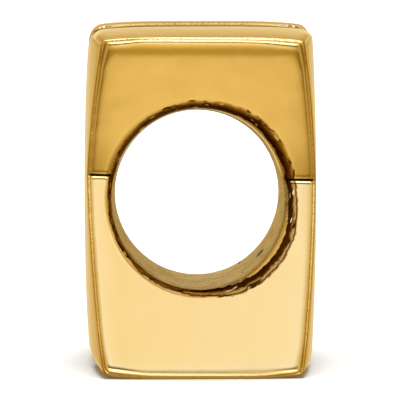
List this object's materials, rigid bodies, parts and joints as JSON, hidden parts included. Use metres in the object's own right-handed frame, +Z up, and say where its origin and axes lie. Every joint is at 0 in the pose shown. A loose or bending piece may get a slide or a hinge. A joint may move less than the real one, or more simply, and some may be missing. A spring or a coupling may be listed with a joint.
{
  "type": "letter bead charm",
  "caption": "Solid cast block-letter bead of two crossing arms, with domed faces, a V waist at each mouth and a round bore to slide onto a bracelet.",
  "frame": {"origin": "centre of the bead's footprint, on the surface that its two feet stand on", "axes": "+Z up from the feet to the top of the letter, Y along the bore, X from one domed letter face to the other"},
  "size_m": [0.0066, 0.0076, 0.0097],
  "materials": {
    "polished_gold": "mirror-polished yellow gold plate outside, matte as-cast skin with dark tarnish in the bore"
  },
  "bodies": {
    "root": {"letter_bead": "polished_gold"}
  },
  "joints": []
}
